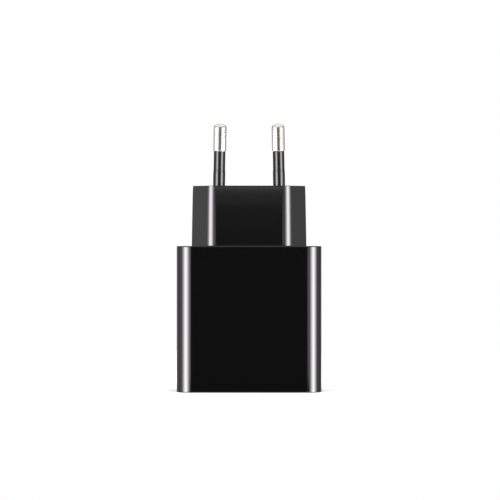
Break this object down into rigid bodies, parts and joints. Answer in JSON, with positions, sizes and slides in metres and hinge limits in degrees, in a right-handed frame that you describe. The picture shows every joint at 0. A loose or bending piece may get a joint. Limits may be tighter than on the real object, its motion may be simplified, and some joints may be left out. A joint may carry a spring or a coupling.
{
  "type": "usb wall charger",
  "caption": "Upright rectangular power adapter with rounded corners, a faceted plug neck, half-sleeved round mains pins and a USB-A socket in the opposite end.",
  "frame": {"origin": "centre of the end face that holds the USB socket", "axes": "+Z along the mains pins, away from the USB socket; X across the wide faces, through both pins; -Y out of the front wide face, where the socket's tongue is"},
  "size_m": [0.044, 0.025, 0.0819],
  "materials": {
    "case_plastic": "smooth satin gloss",
    "cover_plastic": "smooth satin",
    "insulation_film": "thin milky film",
    "pin_metal": "bright nickel plate on brass",
    "sleeve_plastic": "smooth satin gloss",
    "strap_brass": "rolled strip",
    "board_laminate": "green solder mask",
    "solder": "bright tin",
    "fuse_coating": "dipped coating",
    "varistor_coating": "dipped coating",
    "ferrite": "sintered, slightly rough",
    "copper_wire": "enamelled copper",
    "chip_resin": "moulded resin",
    "capacitor_can": "drawn can",
    "capacitor_sleeve": "shrink sleeve",
    "capacitor_seal": "moulded rubber",
    "bobbin_plastic": "moulded",
    "tinned_wire": "tinned",
    "insulated_wire": "insulated winding wire",
    "polyester_tape": "smooth tape",
    "optocoupler_resin": "moulded resin",
    "safety_capacitor_coating": "dipped coating",
    "chip_resistor_body": "glazed",
    "chip_capacitor_body": "ceramic",
    "shell_steel": "nickel-plated sheet",
    "usb_plastic": "moulded",
    "contact_metal": "thin gold plate"
  },
  "bodies": {
    "charger": {"case_body": "case_plastic", "plug_cover": "cover_plastic", "insulation_sheet": "insulation_film", "mains_pin_left": "pin_metal", "mains_pin_right": "pin_metal", "pin_sleeve_left": "sleeve_plastic", "pin_sleeve_right": "sleeve_plastic", "pin_strap_left": "strap_brass", "pin_strap_right": "strap_brass", "power_board": "board_laminate", "solder_joints": "solder", "fuse_resistor": "fuse_coating", "surge_varistor": "varistor_coating", "line_choke_core": "ferrite", "line_choke_winding": "copper_wire", "bridge_rectifier": "chip_resin", "input_capacitor_can_left": "capacitor_can", "input_capacitor_can_right": "capacitor_can", "input_capacitor_sleeve_left": "capacitor_sleeve", "input_capacitor_sleeve_right": "capacitor_sleeve", "input_capacitor_seal_left": "capacitor_seal", "input_capacitor_seal_right": "capacitor_seal", "transformer_core_left": "ferrite", "transformer_core_right": "ferrite", "transformer_bobbin": "bobbin_plastic", "transformer_pins": "tinned_wire", "transformer_primary": "copper_wire", "transformer_secondary": "insulated_wire", "transformer_winding_tape": "polyester_tape", "transformer_core_tape": "polyester_tape", "controller_chip": "chip_resin", "optocoupler": "optocoupler_resin", "safety_capacitor": "safety_capacitor_coating", "chip_resistors": "chip_resistor_body", "chip_capacitors": "chip_capacitor_body", "output_rectifier": "chip_resin", "output_capacitor_can_left": "capacitor_can", "output_capacitor_can_right": "capacitor_can", "output_capacitor_seal_left": "capacitor_seal", "output_capacitor_seal_right": "capacitor_seal", "usb_shell": "shell_steel", "usb_insulator": "usb_plastic", "usb_contact_tails": "contact_metal"},
    "contact_power": {"usb_contact_power": "contact_metal"},
    "contact_data_minus": {"usb_contact_data_minus": "contact_metal"},
    "contact_data_plus": {"usb_contact_data_plus": "contact_metal"},
    "contact_ground": {"usb_contact_ground": "contact_metal"}
  },
  "joints": [
    {"name": "contact_power_flex", "type": "hinge", "parent": "charger", "child": "contact_power", "pos_m": [-0.0035, -0.00045, 0.0101], "axis": [-1, 0, 0], "range_deg": [0, 4.15], "stiffness_Nm_per_rad": 0.083},
    {"name": "contact_data_minus_flex", "type": "hinge", "parent": "charger", "child": "contact_data_minus", "pos_m": [-0.001, -0.00045, 0.0101], "axis": [-1, 0, 0], "range_deg": [0, 4.15], "stiffness_Nm_per_rad": 0.083},
    {"name": "contact_data_plus_flex", "type": "hinge", "parent": "charger", "child": "contact_data_plus", "pos_m": [0.001, -0.00045, 0.0101], "axis": [-1, 0, 0], "range_deg": [0, 4.15], "stiffness_Nm_per_rad": 0.083},
    {"name": "contact_ground_flex", "type": "hinge", "parent": "charger", "child": "contact_ground", "pos_m": [0.0035, -0.00045, 0.0101], "axis": [-1, 0, 0], "range_deg": [0, 4.15], "stiffness_Nm_per_rad": 0.083}
  ]
}
